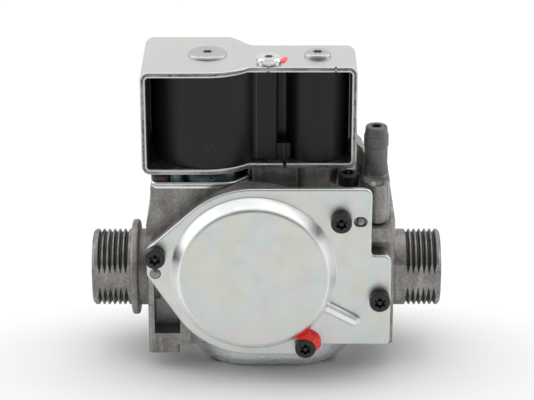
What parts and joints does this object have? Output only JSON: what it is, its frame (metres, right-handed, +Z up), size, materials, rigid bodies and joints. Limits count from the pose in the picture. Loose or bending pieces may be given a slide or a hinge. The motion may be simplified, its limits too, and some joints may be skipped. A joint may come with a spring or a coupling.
{
  "type": "gas control valve",
  "caption": "Gas control valve with threaded ports, round regulator cover, servo diaphragm cup and two solenoid coils in a steel yoke.",
  "frame": {"origin": "centre of the inlet port's end face, on the flow axis", "axes": "+X along the gas flow from inlet to outlet, +Z up towards the coils, +Y to the rear, away from the round cover"},
  "size_m": [0.12, 0.0625, 0.1101],
  "materials": {
    "cast_aluminium": "matt shot-blasted die casting",
    "zinc_plate": "zinc plated, faintly iridescent",
    "zinc_cup": "zinc plated, drawn",
    "zinc_yoke": "zinc plated, sheared edges",
    "black_screw": "black oxide, oiled",
    "brown_screw": "dark brown phosphate",
    "bright_steel": "bright turned",
    "turned_steel": "fine turned, satin",
    "satin_steel": "satin stainless",
    "plated_screw": "bright plated",
    "black_moulding": "satin black thermoset",
    "bobbin_plastic": "natural moulded",
    "copper_wire": "enamelled copper",
    "brass": "turned brass",
    "diaphragm_rubber": "black nitrile",
    "spring_steel": "drawn spring wire",
    "red_lacquer": "glossy sealing lacquer"
  },
  "bodies": {
    "body": {"valve_body": "cast_aluminium", "front_cover": "zinc_plate", "cover_screws": "black_screw", "cover_pins": "bright_steel", "regulator_diaphragm": "diaphragm_rubber", "regulator_spring_seat": "brass", "servo_cover": "zinc_cup", "servo_cover_screws": "black_screw", "servo_diaphragm": "diaphragm_rubber", "main_valve_seat": "brass", "ev1_flange": "zinc_plate", "ev1_flange_screws": "brown_screw", "ev1_sealing_ring": "diaphragm_rubber", "ev1_pole_ring": "bright_steel", "ev1_guide_tube": "bright_steel", "ev1_fixed_core": "bright_steel", "ev1_top_screw": "satin_steel", "ev2_flange": "turned_steel", "ev2_flange_screws": "black_screw", "ev2_guide_tube": "bright_steel", "ev2_fixed_core": "bright_steel", "ev2_top_screw": "satin_steel", "coil_yoke": "zinc_yoke", "yoke_screw": "plated_screw", "coil_moulding": "black_moulding", "ev1_bobbin": "bobbin_plastic", "ev1_winding": "copper_wire", "ev2_bobbin": "bobbin_plastic", "ev2_winding": "copper_wire", "terminal_pins": "brass", "inlet_filter": "bright_steel", "flow_adjuster_cap": "black_moulding", "cover_lacquer": "red_lacquer", "yoke_lacquer": "red_lacquer", "regulator_spring": "spring_steel", "main_valve_spring": "spring_steel", "ev1_spring": "spring_steel", "ev2_spring": "spring_steel"},
    "ev1_armature": {"ev1_plunger": "bright_steel", "ev1_stem": "brass", "ev1_valve_disc": "brass", "ev1_seal": "diaphragm_rubber"},
    "ev2_armature": {"ev2_plunger": "bright_steel", "ev2_seal": "diaphragm_rubber"},
    "main_valve": {"main_valve_stem": "brass", "main_valve_disc": "brass", "main_valve_seal": "diaphragm_rubber", "servo_upper_plate": "bright_steel", "servo_lower_plate": "bright_steel"},
    "regulator": {"regulator_front_plate": "bright_steel", "regulator_rear_plate": "bright_steel", "regulator_stem": "brass"},
    "inlet_test_screw": {"inlet_test_screw": "brass"},
    "outlet_test_screw": {"outlet_test_screw": "brass"},
    "flow_adjuster": {"flow_adjuster": "brass"}
  },
  "joints": [
    {"name": "ev1_lift", "type": "slide", "parent": "body", "child": "ev1_armature", "axis": [0, 0, 1], "range_m": [0, 0.0025], "stiffness_N_per_m": 400, "springref_m": -0.006, "deforming": ["ev1_spring"]},
    {"name": "ev2_lift", "type": "slide", "parent": "body", "child": "ev2_armature", "axis": [0, 0, 1], "range_m": [0, 0.0015], "stiffness_N_per_m": 250, "springref_m": -0.004, "deforming": ["ev2_spring"]},
    {"name": "main_valve_lift", "type": "slide", "parent": "body", "child": "main_valve", "axis": [0, 0, 1], "range_m": [0, 0.0035], "stiffness_N_per_m": 180, "springref_m": -0.006, "deforming": ["main_valve_spring", "servo_diaphragm"]},
    {"name": "regulator_travel", "type": "slide", "parent": "body", "child": "regulator", "axis": [0, 1, 0], "range_m": [-0.001, 0.001], "stiffness_N_per_m": 300, "deforming": ["regulator_spring", "regulator_diaphragm"]},
    {"name": "inlet_test_screw_turn", "type": "hinge", "parent": "body", "child": "inlet_test_screw", "pos_m": [0.0285, 0.027, 0], "axis": [0, 1, 0], "range_deg": [0, 720]},
    {"name": "outlet_test_screw_turn", "type": "hinge", "parent": "body", "child": "outlet_test_screw", "pos_m": [0.097, 0.027, 0], "axis": [0, 1, 0], "range_deg": [0, 720]},
    {"name": "flow_adjuster_turn", "type": "hinge", "parent": "body", "child": "flow_adjuster", "pos_m": [0.084, 0.015, 0], "axis": [0, 1, 0], "range_deg": [-270, 270]}
  ]
}
